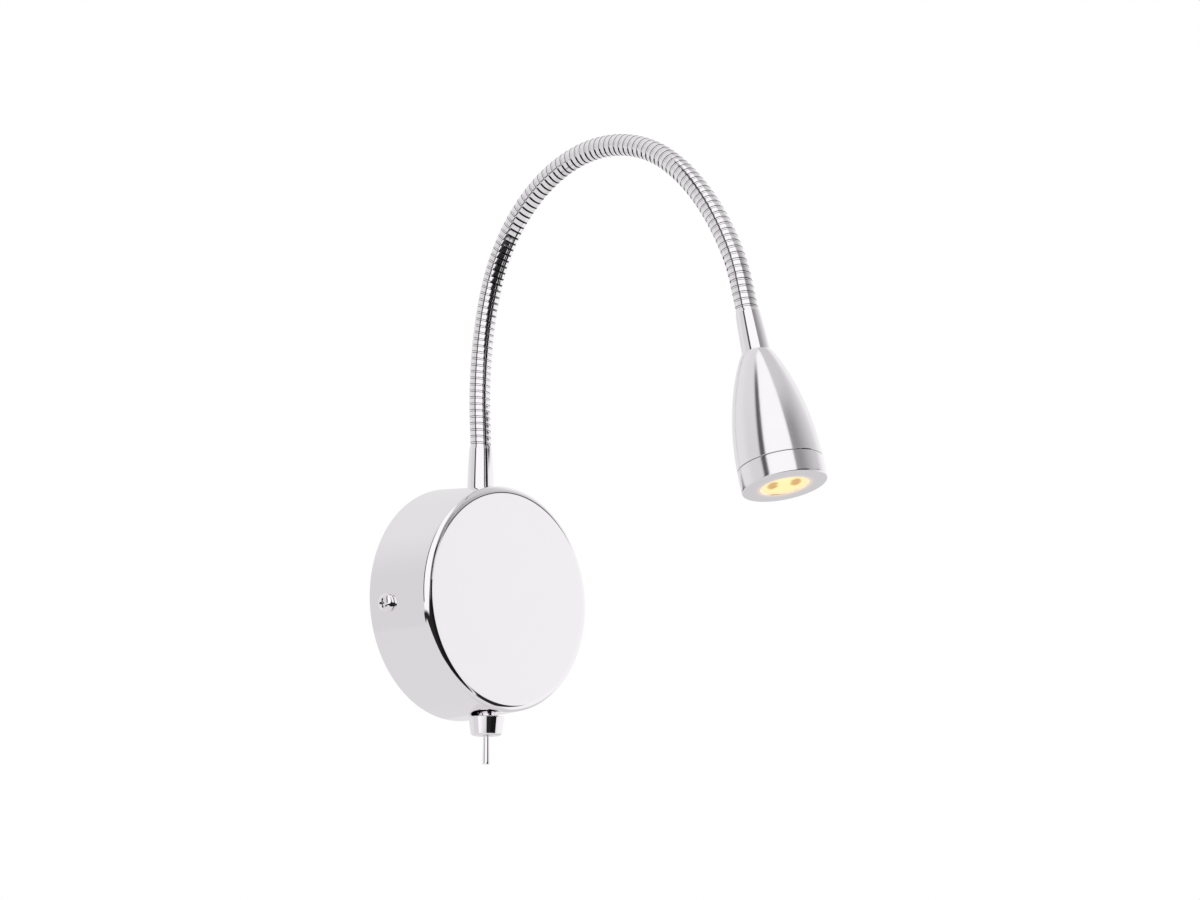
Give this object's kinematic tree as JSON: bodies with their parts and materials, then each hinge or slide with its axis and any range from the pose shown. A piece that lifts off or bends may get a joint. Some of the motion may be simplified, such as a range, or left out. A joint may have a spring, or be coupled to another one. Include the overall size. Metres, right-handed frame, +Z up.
{
  "type": "wall reading lamp",
  "caption": "Bedside wall reading lamp: round chrome cover, bendable chrome gooseneck, small satin aluminium spot head and a toggle switch below.",
  "frame": {"origin": "middle of the wall bracket's back face, on the wall plane, which is also the middle of the round cover's rim", "axes": "+Z up along the wall, +X to the right of someone facing the wall, +Y into the wall; the lamp stands out towards -Y"},
  "size_m": [0.0922, 0.1765, 0.2302],
  "materials": {
    "chrome": "bright polished chrome plate",
    "satin_aluminium": "fine turned satin",
    "zinc_steel": "zinc plated",
    "brass": "bright",
    "terminal_plastic": "moulded",
    "driver_plastic": "moulded",
    "switch_plastic": "moulded",
    "foam": "closed cell foam tape",
    "circuit_board": "glass fibre board",
    "white_board": "white lacquered",
    "ferrite": "ferrite with yellow winding tape",
    "capacitor_sleeve": "shrink sleeve",
    "clear_lens": "clear, polished",
    "holder_plastic": "white reflective",
    "led": "phosphor under silicone",
    "wire_brown": "insulation",
    "wire_blue": "insulation",
    "wire_white": "insulation"
  },
  "bodies": {
    "base": {"cover": "chrome", "wall_bracket": "zinc_steel", "side_screws": "chrome", "earth_washer": "brass", "earth_screw": "brass", "terminal_housing": "terminal_plastic", "terminal_sleeves": "brass", "terminal_clamp_screws": "zinc_steel", "terminal_fixing_screw": "zinc_steel", "driver_pad": "foam", "driver_case": "driver_plastic", "driver_lid": "driver_plastic", "driver_board": "circuit_board", "driver_transformer": "ferrite", "driver_capacitors": "capacitor_sleeve", "base_ferrule": "chrome", "tooth_washer": "zinc_steel", "ferrule_lock_nut": "zinc_steel", "switch_body": "switch_plastic", "switch_bushing": "chrome", "switch_pivot_pin": "zinc_steel", "switch_dress_nut": "chrome", "switch_inner_nut": "zinc_steel", "switch_lugs": "brass", "live_lead": "wire_brown", "switched_lead": "wire_brown", "neutral_lead": "wire_blue", "neck_leads": "wire_white", "neck_link_00": "chrome"},
    "neck_01": {"neck_link_01": "chrome"},
    "neck_02": {"neck_link_02": "chrome"},
    "neck_03": {"neck_link_03": "chrome"},
    "neck_04": {"neck_link_04": "chrome"},
    "neck_05": {"neck_link_05": "chrome"},
    "neck_06": {"neck_link_06": "chrome"},
    "neck_07": {"neck_link_07": "chrome"},
    "neck_08": {"neck_link_08": "chrome"},
    "neck_09": {"neck_link_09": "chrome"},
    "neck_10": {"neck_link_10": "chrome"},
    "neck_11": {"neck_link_11": "chrome"},
    "neck_12": {"neck_link_12": "chrome"},
    "neck_13": {"neck_link_13": "chrome"},
    "neck_14": {"neck_link_14": "chrome"},
    "neck_15": {"neck_link_15": "chrome"},
    "neck_16": {"neck_link_16": "chrome"},
    "neck_17": {"neck_link_17": "chrome"},
    "head": {"head_ferrule": "chrome", "head_shell": "satin_aluminium", "bezel_ring": "satin_aluminium", "heat_spreader": "satin_aluminium", "led_board": "white_board", "led_emitter": "led", "lens": "clear_lens", "lens_holder": "holder_plastic", "head_leads": "wire_white", "neck_link_18": "chrome"},
    "lever": {"switch_lever": "chrome"}
  },
  "joints": [
    {"name": "neck_bend_01", "type": "hinge", "parent": "base", "child": "neck_01", "pos_m": [0, -0.01187, 0.07696], "axis": [1, 0, 0], "range_deg": [-20.8, 11.2]},
    {"name": "neck_swing_02", "type": "hinge", "parent": "neck_01", "child": "neck_02", "pos_m": [0, -0.01227, 0.08961], "axis": [0, 0.9977, 0.0672], "range_deg": [-20, 20]},
    {"name": "neck_bend_03", "type": "hinge", "parent": "neck_02", "child": "neck_03", "pos_m": [0, -0.01357, 0.10219], "axis": [1, 0, 0], "range_deg": [-21.5, 10.5]},
    {"name": "neck_bend_04", "type": "hinge", "parent": "neck_03", "child": "neck_04", "pos_m": [0, -0.01607, 0.11459], "axis": [1, 0, 0], "range_deg": [-22.3, 9.7]},
    {"name": "neck_swing_05", "type": "hinge", "parent": "neck_04", "child": "neck_05", "pos_m": [0, -0.0199, 0.12664], "axis": [0, 0.921, 0.3895], "range_deg": [-20, 20]},
    {"name": "neck_bend_06", "type": "hinge", "parent": "neck_05", "child": "neck_06", "pos_m": [0, -0.02588, 0.13779], "axis": [1, 0, 0], "range_deg": [-26.5, 5.5]},
    {"name": "neck_bend_07", "type": "hinge", "parent": "neck_06", "child": "neck_07", "pos_m": [0, -0.0338, 0.14766], "axis": [1, 0, 0], "range_deg": [-27.9, 4.1]},
    {"name": "neck_swing_08", "type": "hinge", "parent": "neck_07", "child": "neck_08", "pos_m": [0, -0.04357, 0.15569], "axis": [0, 0.5488, 0.836], "range_deg": [-20, 20]},
    {"name": "neck_bend_09", "type": "hinge", "parent": "neck_08", "child": "neck_09", "pos_m": [0, -0.05483, 0.16146], "axis": [1, 0, 0], "range_deg": [-28.6, 3.4]},
    {"name": "neck_bend_10", "type": "hinge", "parent": "neck_09", "child": "neck_10", "pos_m": [0, -0.06707, 0.16465], "axis": [-1, 0, 0], "range_deg": [-2.9, 29.1]},
    {"name": "neck_swing_11", "type": "hinge", "parent": "neck_10", "child": "neck_11", "pos_m": [0, -0.07971, 0.16499], "axis": [0, -0.0873, 0.9962], "range_deg": [-20, 20]},
    {"name": "neck_bend_12", "type": "hinge", "parent": "neck_11", "child": "neck_12", "pos_m": [0, -0.09211, 0.16246], "axis": [-1, 0, 0], "range_deg": [-3.3, 28.7]},
    {"name": "neck_bend_13", "type": "hinge", "parent": "neck_12", "child": "neck_13", "pos_m": [0, -0.10365, 0.15727], "axis": [-1, 0, 0], "range_deg": [-3.4, 28.6]},
    {"name": "neck_swing_14", "type": "hinge", "parent": "neck_13", "child": "neck_14", "pos_m": [0, -0.11377, 0.14969], "axis": [0, -0.6603, 0.751], "range_deg": [-20, 20]},
    {"name": "neck_bend_15", "type": "hinge", "parent": "neck_14", "child": "neck_15", "pos_m": [0, -0.12259, 0.14062], "axis": [-1, 0, 0], "range_deg": [-8.8, 23.2]},
    {"name": "neck_bend_16", "type": "hinge", "parent": "neck_15", "child": "neck_16", "pos_m": [0, -0.13021, 0.13052], "axis": [-1, 0, 0], "range_deg": [-9.1, 22.9]},
    {"name": "neck_swing_17", "type": "hinge", "parent": "neck_16", "child": "neck_17", "pos_m": [0, -0.13656, 0.11958], "axis": [0, -0.8904, 0.4553], "range_deg": [-20, 20]},
    {"name": "neck_bend_18", "type": "hinge", "parent": "neck_17", "child": "head", "pos_m": [0, -0.14171, 0.10803], "axis": [-1, 0, 0], "range_deg": [-6, 26]},
    {"name": "switch_flip", "type": "hinge", "parent": "base", "child": "lever", "pos_m": [0, -0.017, -0.04451], "axis": [0, 1, 0], "range_deg": [-11, 11]}
  ]
}
